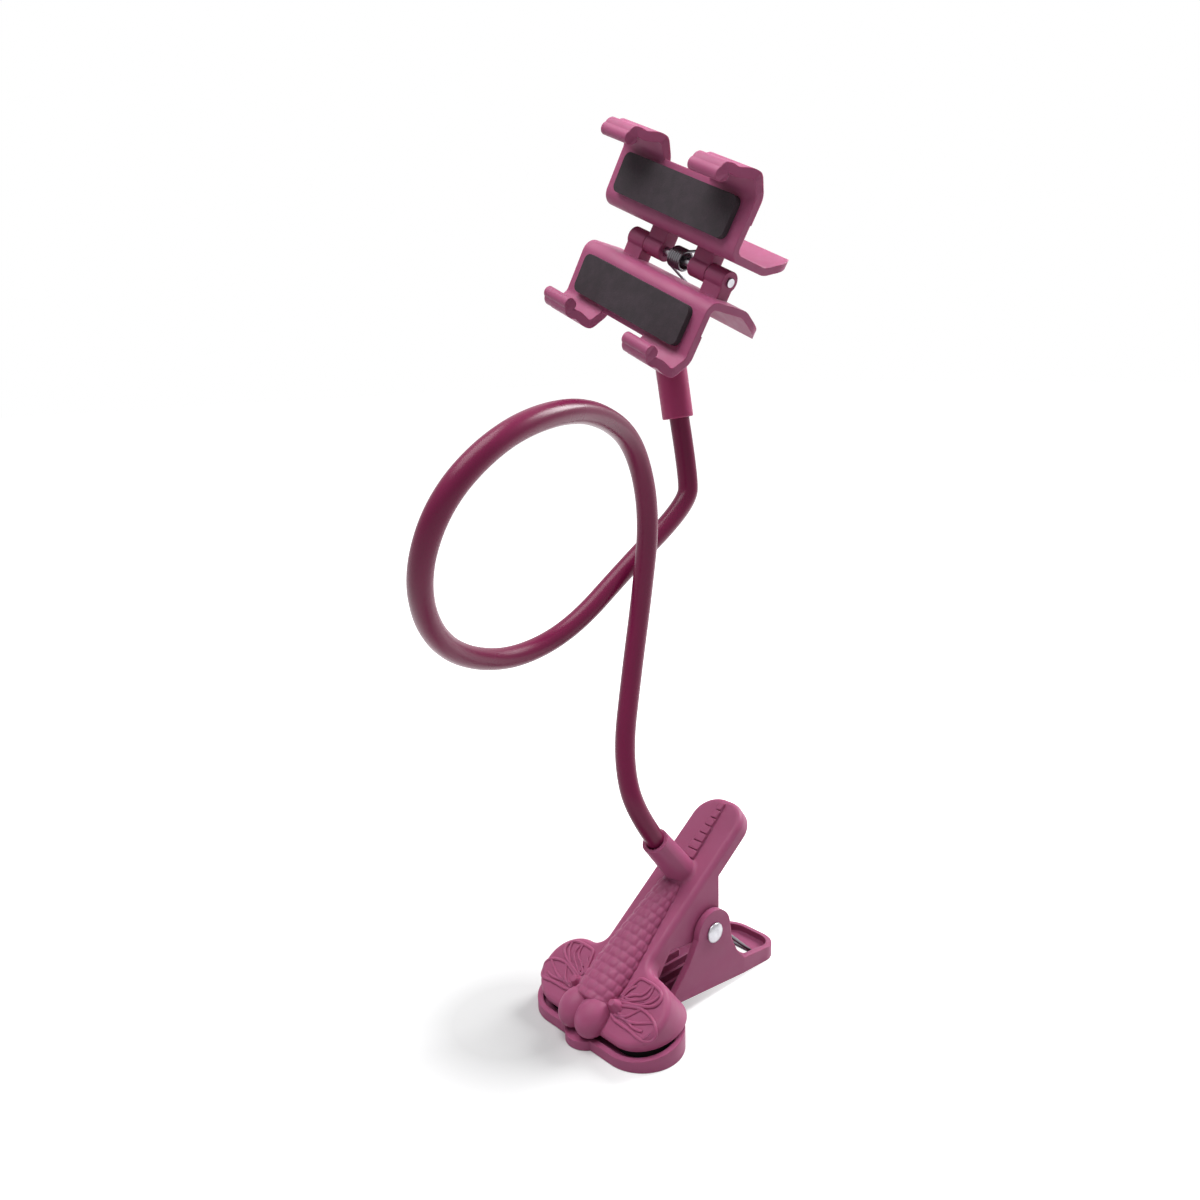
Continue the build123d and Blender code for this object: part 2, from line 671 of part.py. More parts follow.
with BuildPart() as gooseneck_sleeve:
    with BuildLine() as arm_path:
        FilletPolyline(*arm_points, radius=arm_radii)
    with BuildSketch(Plane(origin=arm_path.line @ 0, z_dir=arm_path.line % 0)):
        Circle(arm_diameter / 2)
        Circle(core_diameter / 2 + core_fit, mode=Mode.SUBTRACT)
    sweep()
    gooseneck_sleeve.part.label = "gooseneck_sleeve"
export_step(gooseneck_sleeve.part, "parts/gooseneck_sleeve.step")
print("arm length", round(sum(edge.length for edge in arm_path.edges()), 1))

with BuildPart() as gooseneck_core:
    with BuildLine() as core_path:
        FilletPolyline(*arm_points, radius=arm_radii)
    with BuildSketch(Plane(origin=core_path.line @ 0, z_dir=core_path.line % 0)):
        Circle(core_diameter / 2)
    sweep()
    gooseneck_core.part.label = "gooseneck_core"
export_step(gooseneck_core.part, "parts/gooseneck_core.step")

# Connector sleeve and ball stud at the arm's upper end
with BuildPart() as connector_sleeve:
    with BuildSketch(sleeve_plane.offset(sleeve_low)):
        Circle(sleeve_radius)
    extrude(amount=sleeve_length)
    fillet(connector_sleeve.edges(), sleeve_edge)
    with BuildSketch(sleeve_plane.offset(sleeve_low)):
        Circle(arm_diameter / 2 + socket_fit)
    extrude(amount=sleeve_grip + seat_gap, mode=Mode.SUBTRACT)
    with BuildSketch(sleeve_plane.offset(-sleeve_top)):
        Circle(stud_radius + stud_fit)
    extrude(amount=-stud_grip, mode=Mode.SUBTRACT)
    connector_sleeve.part.label = "connector_sleeve"
export_step(connector_sleeve.part, "parts/connector_sleeve.step")

with BuildPart() as ball_stud:
    with BuildSketch(sleeve_plane.offset(-sleeve_top - stud_grip + seat_gap)):
        Circle(stud_radius)
    extrude(amount=sleeve_top + stud_grip - seat_gap)
    with Locations(ball_centre):
        Sphere(ball_radius)
    ball_stud.part.label = "ball_stud"
export_step(ball_stud.part, "parts/ball_stud.step")

# Lock nut that holds the ball in the cradle's cup
cup_plane = sub_plane(
    cradle,
    (0, -cup_offset, -cup_depth),
    (1, 0, 0),
    (0, cos(radians(cup_lean)), sin(radians(cup_lean))),
)
seat_radius = ball_radius + ball_fit
cup_radius = seat_radius + cup_wall
lip_depth = sqrt(seat_radius**2 - lip_radius**2)
nut_low = -lip_depth - nut_lip
with BuildPart() as lock_nut:
    with BuildSketch(cup_plane.offset(nut_low)):
        Circle(cup_radius + nut_wall)
    extrude(amount=nut_height)
    with BuildSketch(cup_plane.offset(nut_low)):
        with PolarLocations(cup_radius + nut_wall + nut_groove * nut_groove_share, nut_lugs):
            Circle(nut_groove)
    extrude(amount=nut_height, mode=Mode.SUBTRACT)
    with BuildSketch(cup_plane):
        Circle(cup_radius + thread_fit)
    extrude(amount=nut_height, mode=Mode.SUBTRACT)
    with Locations(ball_centre):
        Sphere(seat_radius, mode=Mode.SUBTRACT)
    with BuildSketch(cup_plane.offset(-lip_depth)):
        Circle(lip_radius)
    with BuildSketch(cup_plane.offset(nut_low)):
        Circle(lip_radius + nut_lip)
    loft(mode=Mode.SUBTRACT)
    lock_nut.part.label = "lock_nut"
export_step(lock_nut.part, "parts/lock_nut.step")

# Cradle halves
grip_half = grip_width / 2
claw_depth = plate_depth + (claw_thick - wall_thick) / 2


def profile_plane(x):
    """Section of the cradle at a station along it: upwards, then towards the front."""
    return sub_plane(cradle, (x, 0, 0), (0, 1, 0), (1, 0, 0))


def cradle_half_part(side, lug_start):
    """One squeeze half: side is 1 above the gripped device and -1 below it."""
    with BuildPart() as half:
        with BuildSketch(profile_plane(0)):
            with BuildLine():
                FilletPolyline(
                    (side * (grip_half - plate_edge), -plate_depth),
                    (side * (wall_offset + wall_lean), -plate_depth),
                    (side * wall_offset, -hinge_depth - wall_drop),
                    (side * handle_spread, -handle_depth),
                    radius=handle_bends,
                )
            trace(line_width=wall_thick)
        extrude(amount=cradle_half, both=True)
        with BuildSketch(sub_plane(cradle, (0, 0, 0), (1, 0, 0), (0, -1, 0))):
            with Locations((0, -(handle_depth + handle_over) / 2)):
                RectangleRounded(2 * cradle_half, handle_depth + handle_over, handle_round)
        extrude(amount=grip_width, both=True, mode=Mode.INTERSECT)
        claw_line = [(side * (grip_half + out), forward - claw_depth) for out, forward in claw_foot]
        claw_line += [(side * (grip_half + out), forward) for out, forward in claw_hook]
        for end in (1, -1):
            with BuildSketch(profile_plane(end * claw_inner)):
                with BuildLine():
                    FilletPolyline(*claw_line, radius=claw_bends)
                trace(line_width=claw_thick)
                with Locations(claw_line[-1]):
                    Circle(claw_tip_radius)
            extrude(amount=end * (cradle_half - claw_inner))
            with BuildSketch(profile_plane(end * lug_start)):
                with Locations((0, -hinge_depth)):
                    Circle(barrel_radius)
                    Rectangle(
                        wall_offset,
                        knuckle_share * barrel_radius,
                        align=(Align.MIN if side > 0 else Align.MAX, Align.CENTER),
                    )
            extrude(amount=end * knuckle_length)
        with BuildSketch(profile_plane(0)):
            with Locations((0, -hinge_depth)):
                Circle(hinge_pin_radius + pin_fit)
        extrude(amount=cradle_half + 1, both=True, mode=Mode.SUBTRACT)
    return half.part


outer_lug = knuckle_start + knuckle_length + knuckle_gap
with BuildPart() as cradle_lower:
    add(cradle_half_part(-1, outer_lug))
    with BuildSketch(cup_plane.offset(cup_mouth)):
        Circle(cup_radius)
    extrude(amount=cup_height)
    with Locations(ball_centre):
        Sphere(seat_radius, mode=Mode.SUBTRACT)
    cradle_lower.part.label = "cradle_lower"
export_step(cradle_lower.part, "parts/cradle_lower.step")

with BuildPart() as cradle_upper:
    add(cradle_half_part(1, knuckle_start))
    cradle_upper.part.label = "cradle_upper"
export_step(cradle_upper.part, "parts/cradle_upper.step")

with BuildPart() as cradle_pin:
    with BuildSketch(profile_plane(0)):
        with Locations((0, -hinge_depth)):
            Circle(hinge_pin_radius)
    extrude(amount=outer_lug + knuckle_length + pin_overhang, both=True)
    cradle_pin.part.label = "cradle_pin"
export_step(cradle_pin.part, "parts/cradle_pin.step")

# Grip spring: a coil on the cradle's pin, with a leg behind each handle
with BuildPart() as grip_spring:
    coil_half = (grip_spring_turns - 1) * grip_spring_wire / 2
    spring_leg_end = spring_leg_margin - handle_depth
    with BuildSketch(sub_plane(cradle, (0, 0, -hinge_depth), (1, 0, 0), (0, -1, 0))):
        for turn in range(grip_spring_turns):
            with Locations((turn * grip_spring_wire - coil_half, grip_spring_radius)):
                Circle(grip_spring_wire * ring_share)
    revolve(axis=Axis(cradle.from_local_coords((0, 0, -hinge_depth)), cradle_along))
    for side in (1, -1):
        with BuildLine() as spring_leg:
            Line(
                cradle.from_local_coords((side * coil_half, side * grip_spring_radius, -hinge_depth)),
                cradle.from_local_coords((side * coil_half, side * spring_leg_y, spring_leg_end)),
            )
        with BuildSketch(Plane(origin=spring_leg.line @ 0, z_dir=spring_leg.line % 0)):
            Circle(grip_spring_wire * leg_share)
        sweep()
    grip_spring.part.label = "grip_spring"
export_step(grip_spring.part, "parts/grip_spring.step")

# Soft pads behind the gripped device
for side, side_name in ((1, "upper"), (-1, "lower")):
    with BuildPart() as back_pad:
        with BuildSketch(sub_plane(cradle, (0, 0, -plate_depth + wall_thick / 2), (1, 0, 0), (0, 0, 1))):
            with Locations((0, side * (grip_half + wall_offset) / 2)):
                RectangleRounded(
                    2 * (cradle_half - back_pad_inset),
                    grip_half - wall_offset - back_pad_gap,
                    back_pad_corner,
                )
        extrude(amount=back_pad_thick)
        back_pad.part.label = "back_pad_" + side_name
    export_step(back_pad.part, "parts/back_pad_" + side_name + ".step")
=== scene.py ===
"""Studio scene of the gooseneck holder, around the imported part.

It adds the finishes, the relief on the clip, the rivet caps, the bending arm, the tapered claws and the wound springs.
Metres, in the part's own frame: X across the clip, -Y the front of its jaws, Z up from the floor.
The part's named values are in millimetres and degrees, unless they say otherwise.
"""

import json
import math

import bpy
from mathutils import Matrix, Vector

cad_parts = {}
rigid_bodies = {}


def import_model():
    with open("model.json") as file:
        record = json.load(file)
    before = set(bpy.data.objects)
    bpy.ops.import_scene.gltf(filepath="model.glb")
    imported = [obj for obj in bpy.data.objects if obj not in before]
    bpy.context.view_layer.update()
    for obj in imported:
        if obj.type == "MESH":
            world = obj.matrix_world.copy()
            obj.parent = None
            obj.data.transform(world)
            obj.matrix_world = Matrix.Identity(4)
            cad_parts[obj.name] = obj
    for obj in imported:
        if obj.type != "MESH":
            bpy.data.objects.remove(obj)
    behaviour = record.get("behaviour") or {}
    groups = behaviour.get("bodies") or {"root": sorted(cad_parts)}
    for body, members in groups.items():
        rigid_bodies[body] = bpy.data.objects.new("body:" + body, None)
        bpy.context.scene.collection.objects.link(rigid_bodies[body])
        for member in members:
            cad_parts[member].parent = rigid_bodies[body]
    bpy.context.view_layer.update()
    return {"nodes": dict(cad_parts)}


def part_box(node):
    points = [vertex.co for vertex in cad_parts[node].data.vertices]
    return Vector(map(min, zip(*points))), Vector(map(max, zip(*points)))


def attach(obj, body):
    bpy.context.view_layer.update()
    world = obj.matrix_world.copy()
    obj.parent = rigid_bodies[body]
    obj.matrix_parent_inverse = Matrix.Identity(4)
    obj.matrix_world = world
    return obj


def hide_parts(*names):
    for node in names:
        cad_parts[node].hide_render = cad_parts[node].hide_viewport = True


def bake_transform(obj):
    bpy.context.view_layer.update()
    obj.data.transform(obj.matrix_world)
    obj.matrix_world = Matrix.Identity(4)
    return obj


MM = 0.001
FULL_TURN = 360.0
QUARTER_TURN = 90.0

# Camera, fitted to the photograph, in metres
IMAGE_SIZE = 1200
FOCAL_PIXELS = 1067.8
SENSOR = 36.0
CAMERA_AT = (0.2917, -0.2578, 0.2718)
CAMERA_RIGHT = (0.66892, 0.74282, -0.02774)
CAMERA_DOWN = (0.15266, -0.17380, -0.97288)
CAMERA_CLIP = 0.01

# The upper jaw and the arm
JAW_FRONT_Y = -16.0
JAW_FRONT_Z = 9.2
JAW_RISE = 37.0
BOSS_STATION = 73.8
BOSS_LEAN = 1.5
ARM_SEAT = 4.0
ARM_FIRST_CORNER = 39.0
ARM_ROUTE = [            # controls of its smooth path, fitted to its middle line in the photograph
    (-8.9, 18.9, 108.2),
    (-11.5, 27.7, 142.5),
    (-10.3, 33.2, 174.6),
    (-5.1, 33.5, 208.3),
    (0.1, 21.1, 237.5),
    (12.6, -7.8, 250.4),
    (26.2, -39.4, 252.7),
    (32.7, -67.3, 246.4),
    (30.2, -86.6, 230.2),
    (18.4, -89.0, 206.9),
    (1.6, -75.7, 183.5),
    (-13.5, -52.9, 166.0),
    (-23.1, -22.4, 156.9),
    (-24.4, 7.5, 162.7),
    (-20.9, 35.5, 184.4),
]
ARM_LAST_CORNER = 33.0
LAST_CORNER_SHIFT = (1.3, 1.5, -0.1)
LAST_BEND = (0.88, 0.25)   # it bends between these shares of the way to the last corner and on to the sleeve
ARM_RADIUS = 4.2
ARM_RESOLUTION = 24
SLEEVE_GRIP = 20.0
SLEEVE_REACH = 43.5
SLEEVE_LEAN_X = -8.0
SLEEVE_LEAN_Y = -2.3
BALL = (-28.6, 66.2, 285.4)

# The clip's pivot and spring
PIVOT_Y, PIVOT_Z = 46.2, 29.6
COIL_STEP = 22.5         # degrees between the control points of a coil
COIL_RADIUS = 4.2
COIL_WIRE = 1.6
COIL_PITCH = COIL_WIRE / FULL_TURN
COIL_INNER_X = 4.0
COIL_EXIT = 60.0         # where the lower legs leave the coils, degrees up from the rear
COIL_SWEEP = 1020.0      # turning of a coil between its two legs
LEG_STATION = 92.0
LEG_DEPTH = 3.25
LEG_CONTROLS = (0.2, 0.6)   # shares of the way down an upper leg
BAR_Y, BAR_Z = 78.1, 3.87
BAR_HALF = 11.0
BAR_BEND = 3.0
MOVING_LEG = 0.49        # radius of a moving leg, as a share of its wire
LEG_CONTROL = 0.4        # share of the way down a moving leg
WIRE_RESOLUTION = 8

# The cradle, its spring and its claws
CRADLE_PITCH = 12.5
CRADLE_ROLL = 22.5
CRADLE_YAW = 2.3
CUP_OFFSET = 22.0
CUP_DEPTH = 29.0
HINGE_DEPTH = 26.0
GRIP_RADIUS = 3.9
GRIP_WIRE = 1.2
GRIP_PITCH = GRIP_WIRE / FULL_TURN
GRIP_SWEEP = 1980.0
GRIP_LEG = (8.0, -38.0)  # end of a leg: out from the hinge, and behind the front face
CLAW_FROM_UP = 30.0      # the claws lie further than this from the cradle's middle
CLAW_FRONT = (-7.0, 3.0)   # depths between which they narrow, behind and before the front face
CLAW_MIDDLE = 24.0       # between a claw's two ends, along the cradle
CLAW_NARROWS = {         # how far a claw's left and right ends move in at the hook
    "cradle_lower": (5.5, 5.0),
    "cradle_upper": (2.0, 8.0),
}
CLAW_END_FACING = 0.9    # corners on a claw's end have normals at least this far along the cradle

# Relief on the upper jaw: across it and along it, for one side
LOBE_X, LOBE_Y, LOBE_RADIUS = 19.5, 15.0, 15.0
LOBE_EDGE = 2.6          # rounding of the lobes' top edge
CARVED_FROM_X = 14.6     # the part's own plain veins lie outside this, over these stations and heights
CARVED_ALONG = (5.0, 27.0)
CARVED_HEIGHT = (0.3, 1.0)
CARVED_SINK = 0.25       # under the wings' skin, where the lobes' edge is rounded
WING_EDGES = [
    [(11.4, 9.0), (13.5, 7.4), (18.5, 7.3), (24.0, 7.2), (28.6, 6.3), (32.2, 7.2), (33.7, 10.2), (33.4, 12.6),
     (30.6, 15.0), (26.5, 16.2), (22.4, 16.4), (18.2, 15.2), (14.0, 13.6), (11.8, 12.4)],
    [(11.0, 14.0), (15.5, 15.4), (20.5, 16.8), (25.6, 18.6), (28.1, 20.9), (28.0, 24.0), (25.8, 26.0), (21.5, 26.7),
     (17.0, 26.7), (13.9, 26.4), (12.6, 22.0), (11.0, 16.5)],
]
WING_VEINS = [
    [(13.0, 9.0), (17.0, 9.6), (21.2, 9.2), (25.4, 8.4), (28.8, 9.4)],
    [(22.6, 16.2), (20.4, 13.2), (18.4, 10.4), (15.0, 9.2)],
    [(31.2, 14.6), (26.8, 12.0), (22.8, 10.0), (18.6, 9.4)],
    [(11.6, 15.6), (15.4, 19.4), (19.4, 20.8), (20.8, 24.0), (20.8, 26.5)],
    [(13.0, 15.0), (18.0, 18.0), (22.0, 20.6), (22.6, 24.0), (21.6, 26.5)],
    [(21.0, 17.2), (25.0, 20.4), (26.2, 23.0), (26.6, 25.2)],
]
EDGE_BEAD = 0.74         # radius of the wings' outlines, and of the veins inside them
VEIN_BEAD = 0.62
BEAD_LIFT = 0.22         # the beads' centres above the face
BEAD_RESOLUTION, BEAD_ROUNDNESS = 8, 4
SKIN_LIFT = 0.15         # the wings' skin above the face
SKIN_REACH = 0.97        # share of the way from a wing's middle to its edge
SKIN_RINGS, SKIN_STEPS = 18, 6
BODY_SECTIONS = [        # station, half-width and crown of the scaled body
    (7.6, 5.5, 4.0), (8.0, 7.8, 5.6), (8.6, 9.2, 6.55), (14.4, 10.0, 6.55), (26.0, 9.5, 6.15),
    (36.0, 8.5, 5.75), (46.0, 7.2, 5.25), (60.0, 5.9, 4.4), (65.0, 5.3, 3.95), (67.5, 4.6, 3.3),
]
RING_FIRST, RING_PITCH = 15.5, 3.96
RING_STAGGER = 0.5       # every other ring is turned by this share of a scale
SCALE_ANGLE = 30.0       # width of one scale round the body
SCALE_EDGE = 1.5         # softened border of a scale
SCALE_DEPTH = 0.44
SCALE_TILT = 0.06        # a scale's rear end stands this much higher
BODY_FOOT = 102.0        # the body's skin ends this far from the crown, under the face
BODY_STEP, BODY_TURN = 0.44, 3.0

# Turned pieces: radius and height from the foot
TURNED_SIDES = 40
CAP_PROFILE = [
    (4.30, 0.0), (4.45, 0.25), (4.42, 0.55), (4.20, 0.85), (3.75, 1.15), (3.0, 1.45), (2.1, 1.68), (1.1, 1.84),
    (0.25, 1.89),
]
CONNECTOR_PROFILE = [
    (5.6, 0.0), (6.1, 0.06), (6.36, 0.24), (6.48, 0.5), (6.5, 0.9), (6.5, 10.0), (6.5, 20.0), (6.5, 29.1),
    (6.48, 29.5), (6.36, 29.76), (6.1, 29.94), (5.6, 30.0),
]

# Lights, world and floor, in metres and watts
LAMP_TARGET = (0.0, 0.03, 0.05)
OVERHEAD_AT, OVERHEAD_SIZE, OVERHEAD_POWER = (-0.08, -0.25, 1.20), (0.8, 0.8), 14.5
BACK_AT, BACK_SIZE, BACK_POWER = (0.12, 0.93, 0.77), (0.5, 0.5), 13.0
FILL_COLOUR, FILL_STRENGTH = (0.95, 0.97, 1.0, 1.0), 0.25
WHITE = (1.0, 1.0, 1.0, 1.0)
FLOOR_GREY = (0.57, 0.57, 0.57, 1.0)
FLOOR_HALF = 6.0
FLOOR_Z = -0.0002
SHADOW_AT = (-0.030, -0.027)   # middle of the cast shadow on the floor, where the floor glows least: painted shade round the cast shadow
FLOOR_GLOW = (0.025, 0.12, 0.0, 1.0)   # distances from there, near and far, and the glow at each

# Photographed finishes, sRGB
ROSE = (160, 80, 116)
ROSE_DEEP = (158, 80, 116)
WINE = (114, 24, 65)
WINE_SLEEVE = (164, 54, 102)
NUT_ROSE = (136, 60, 94)
RUBBER = (30, 27, 29)
PAD_GREY = (52, 44, 49)
STEEL = (176, 175, 180)
SPRING = (112, 110, 114)
EDGE_SAMPLES = 6         # of the shader that rounds off edges


def linear(rgb):
    """An sRGB colour, 0 to 255, as linear light."""
    def one(value):
        value /= 255.0
        return value / 12.92 if value <= 0.04045 else ((value + 0.055) / 1.055) ** 2.4
    return tuple(one(value) for value in rgb)


def shade(rgb, factor):
    """An sRGB colour, lighter or darker, for a colour socket."""
    return tuple(min(1.0, value * factor) for value in linear(rgb)) + (1.0,)


class Material:
    """A node material built around one Principled shader."""

    def __init__(self, name):
        self.material = bpy.data.materials.new(name)
        self.material.use_nodes = True
        self.tree = self.material.node_tree
        self.tree.nodes.clear()
        self.output = self.tree.nodes.new("ShaderNodeOutputMaterial")
        self.shader = self.tree.nodes.new("ShaderNodeBsdfPrincipled")
        self.link(self.shader.outputs["BSDF"], self.output.inputs["Surface"])
        self.coords = self.tree.nodes.new("ShaderNodeTexCoord").outputs["Object"]

    def link(self, source, target):
        self.tree.links.new(source, target)

    def noise(self, scale, detail=3.0, stretch=None, roughness=0.5):
        """Noise with about `scale` cells to the metre."""
        node = self.tree.nodes.new("ShaderNodeTexNoise")
        node.inputs["Scale"].default_value = scale
        node.inputs["Detail"].default_value = detail
        node.inputs["Roughness"].default_value = roughness
        source = self.coords
        if stretch:
            mapping = self.tree.nodes.new("ShaderNodeMapping")
            mapping.inputs["Scale"].default_value = stretch
            self.link(source, mapping.inputs["Vector"])
            source = mapping.outputs["Vector"]
        self.link(source, node.inputs["Vector"])
        return node.outputs["Fac"]

    def ramp(self, value, stops):
        """A colour ramp from (place, linear colour) pairs."""
        node = self.tree.nodes.new("ShaderNodeValToRGB")
        while len(node.color_ramp.elements) < len(stops):
            node.color_ramp.elements.new(0.5)
        for element, (place, colour) in zip(node.color_ramp.elements, stops):
            element.position = place
            element.color = colour
        self.link(value, node.inputs["Fac"])
        return node.outputs["Color"]

    def spread(self, value, low, high, from_low=0.3, from_high=0.7):
        """Noise spread over a range of values."""
        node = self.tree.nodes.new("ShaderNodeMapRange")
        node.inputs["From Min"].default_value = from_low
        node.inputs["From Max"].default_value = from_high
        node.inputs["To Min"].default_value = low
        node.inputs["To Max"].default_value = high
        self.link(value, node.inputs["Value"])
        return node.outputs["Result"]

    def soft_edges(self, radius):
        """Normals that round off sharp edges to a moulding's small radius."""
        node = self.tree.nodes.new("ShaderNodeBevel")
        node.samples = EDGE_SAMPLES
        node.inputs["Radius"].default_value = radius
        return node.outputs["Normal"]

    def bump(self, layers, normal=None):
        """Chained bumps from (height, strength, depth in metres) layers, over a normal if one is given."""
        for height, strength, depth in layers:
            node = self.tree.nodes.new("ShaderNodeBump")
            node.inputs["Strength"].default_value = strength
            node.inputs["Distance"].default_value = depth
            self.link(height, node.inputs["Height"])
            if normal is not None:
                self.link(normal, node.inputs["Normal"])
            normal = node.outputs["Normal"]
        self.link(normal, self.shader.inputs["Normal"])

    def set(self, **values):
        """Plain values on the shader's sockets."""
        for name, value in values.items():
            self.shader.inputs[name.replace("_", " ")].default_value = value


def moulded_plastic(name, rgb, rough_low, rough_high, edge=0.0007):
    """Satin injection-moulded plastic with flow mottling, soft edges and a fine spark-eroded grain."""
    made = Material(name)
    flow = made.noise(38.0, detail=4.0, stretch=(1.0, 0.45, 1.0), roughness=0.55)
    body = made.ramp(flow, [(0.30, shade(rgb, 0.92)), (0.52, shade(rgb, 1.0)), (0.74, shade(rgb, 1.06))])
    made.link(body, made.shader.inputs["Base Color"])
    smear = made.noise(150.0, detail=5.0)
    made.link(made.spread(smear, rough_low, rough_high), made.shader.inputs["Roughness"])
    made.bump([
        (made.noise(110.0, detail=2.0), 0.10, 0.0004),
        (made.noise(2600.0, detail=2.0), 0.14, 0.00008),
    ], made.soft_edges(edge))
    made.set(Specular_IOR_Level=0.22, Subsurface_Weight=0.45, Subsurface_Scale=0.0016)
    made.set(Subsurface_Radius=(1.0, 0.5, 0.65))
    return made.material


def soft_sleeve(name, rgb):
    """Glossy soft vinyl drawn over the arm's core, with a faint drawn grain."""
    made = Material(name)
    cloud = made.noise(26.0)
    body = made.ramp(cloud, [(0.30, shade(rgb, 0.92)), (0.70, shade(rgb, 1.08))])
    made.link(body, made.shader.inputs["Base Color"])
    smear = made.noise(60.0)
    made.link(made.spread(smear, 0.26, 0.34), made.shader.inputs["Roughness"])
    made.bump([(made.noise(1700.0, detail=2.0), 0.06, 0.00005)])
    made.set(Specular_IOR_Level=0.18)
    made.set(Subsurface_Weight=0.05, Subsurface_Scale=0.0015, Subsurface_Radius=(1.0, 0.3, 0.4))
    return made.material


def rubber(name, rgb, rough_low, rough_high, grain):
    """Dull rubber or foam with a dusty mottling and a grain of so many cells to the metre."""
    made = Material(name)
    dust = made.noise(210.0, detail=5.0)
    body = made.ramp(dust, [(0.35, shade(rgb, 0.8)), (0.72, shade(rgb, 1.5))])
    made.link(body, made.shader.inputs["Base Color"])
    made.link(made.spread(dust, rough_low, rough_high), made.shader.inputs["Roughness"])
    made.bump([(made.noise(grain), 0.35, 0.00018)])
    made.set(Specular_IOR_Level=0.3)
    return made.material


def metal(name, rgb, rough_low, rough_high, brushed):
    """Plated or drawn steel, with fine scratches along the given stretch."""
    made = Material(name)
    scratch = made.noise(420.0, detail=4.0, stretch=brushed)
    body = made.ramp(scratch, [(0.30, shade(rgb, 0.82)), (0.70, shade(rgb, 1.12))])
    made.link(body, made.shader.inputs["Base Color"])
    made.link(made.spread(scratch, rough_low, rough_high), made.shader.inputs["Roughness"])
    made.bump([(scratch, 0.10, 0.00006)])
    made.set(Metallic=1.0)
    return made.material


def put(name, data):
    """An object with this data, in the scene."""
    made = bpy.data.objects.new(name, data)
    bpy.context.scene.collection.objects.link(made)
    return made


def smooth_piece(name, points, faces):
    """A smoothly shaded mesh piece."""
    mesh = bpy.data.meshes.new(name)
    mesh.from_pydata(points, [], faces)
    mesh.shade_smooth()
    return put(name, mesh)


def tube(name, runs, radius, resolution, roundness=8):
    """Round tubes along smooth NURBS curves, with each run's points as its controls, as one mesh piece."""
    curve = bpy.data.curves.new(name + "_path", "CURVE")
    curve.dimensions = "3D"
    curve.resolution_u = resolution
    curve.bevel_depth = radius
    curve.bevel_resolution = roundness
    curve.use_fill_caps = True
    for points in runs:
        spline = curve.splines.new("NURBS")
        spline.points.add(len(points) - 1)
        for control, point in zip(spline.points, points):
            control.co = (*point, 1.0)
        spline.order_u = 3
        spline.use_endpoint_u = True
    path = put(name + "_path", curve)
    bpy.context.view_layer.update()
    mesh = bpy.data.meshes.new_from_object(path.evaluated_get(bpy.context.evaluated_depsgraph_get()))
    bpy.data.objects.remove(path)
    for polygon in mesh.polygons:
        polygon.use_smooth = True
    mesh.name = name
    return put(name, mesh)


def coil_points(first, last, radius, place):
    """Control points round a coil between two angles; place(angle, radius) puts each in the frame."""
    steps = max(2, round(abs(last - first) / COIL_STEP))
    reach = radius / math.cos(math.radians(COIL_STEP / 2)) ** 0.5
    return [place(first + (last - first) * step / steps, reach) for step in range(steps + 1)]


def turned(name, foot, axis, profile):
    """A closed turned piece from (radius, height) pairs up an axis, all in millimetres."""
    across = axis.orthogonal().normalized()
    beside = axis.cross(across)
    points = []
    for radius, height in profile:
        for step in range(TURNED_SIDES):
            turn = math.tau * step / TURNED_SIDES
            rim = across * math.cos(turn) + beside * math.sin(turn)
            points.append((foot + axis * height + rim * radius) * MM)
    faces = [tuple(reversed(range(TURNED_SIDES)))]
    for ring in range(len(profile) - 1):
        for step in range(TURNED_SIDES):
            first = ring * TURNED_SIDES + step
            second = ring * TURNED_SIDES + (step + 1) % TURNED_SIDES
            faces.append((first, second, second + TURNED_SIDES, first + TURNED_SIDES))
    faces.append(tuple(range(len(points) - TURNED_SIDES, len(points))))
    return smooth_piece(name, points, faces)


def paint(piece, material):
    """One material all over a piece or node."""
    piece.data.materials.clear()
    piece.data.materials.append(material)


# Empty scene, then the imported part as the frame
for left_over in list(bpy.data.objects):
    bpy.data.objects.remove(left_over)
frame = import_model()
nodes = frame["nodes"]

# Finishes: the colour, then the least and the greatest roughness
rose = moulded_plastic("rose_moulded", ROSE, 0.40, 0.56)
rose_deep = moulded_plastic("rose_moulded_deep", ROSE_DEEP, 0.42, 0.58)
nut_rose = moulded_plastic("nut_moulded", NUT_ROSE, 0.36, 0.50)
wine = soft_sleeve("wine_vinyl", WINE)
wine_hard = moulded_plastic("wine_moulded", WINE_SLEEVE, 0.34, 0.46, edge=0.0005)
grip_rubber = rubber("black_rubber", RUBBER, 0.62, 0.85, grain=900.0)
pad_foam = rubber("soft_foam", PAD_GREY, 0.78, 0.95, grain=1500.0)
plated = metal("plated_steel", STEEL, 0.24, 0.40, brushed=(1.0, 1.0, 1.0))
spring_steel = metal("spring_steel", SPRING, 0.30, 0.46, brushed=(1.0, 8.0, 8.0))

finishes = {
    "upper_jaw": rose,
    "lower_jaw": rose_deep,
    "upper_pad_left": grip_rubber,
    "upper_pad_right": grip_rubber,
    "lower_pad_left": grip_rubber,
    "lower_pad_right": grip_rubber,
    "pivot_pin": plated,
    "rivet_cap_left": plated,
    "rivet_cap_right": plated,
    "clip_spring": spring_steel,
    "gooseneck_sleeve": wine,
    "gooseneck_core": spring_steel,
    "connector_sleeve": wine_hard,
    "ball_stud": plated,
    "lock_nut": nut_rose,
    "cradle_lower": rose,
    "cradle_upper": rose,
    "cradle_pin": plated,
    "grip_spring": spring_steel,
    "back_pad_lower": pad_foam,
    "back_pad_upper": pad_foam,
}
for node_name, finish in finishes.items():
    paint(nodes[node_name], finish)

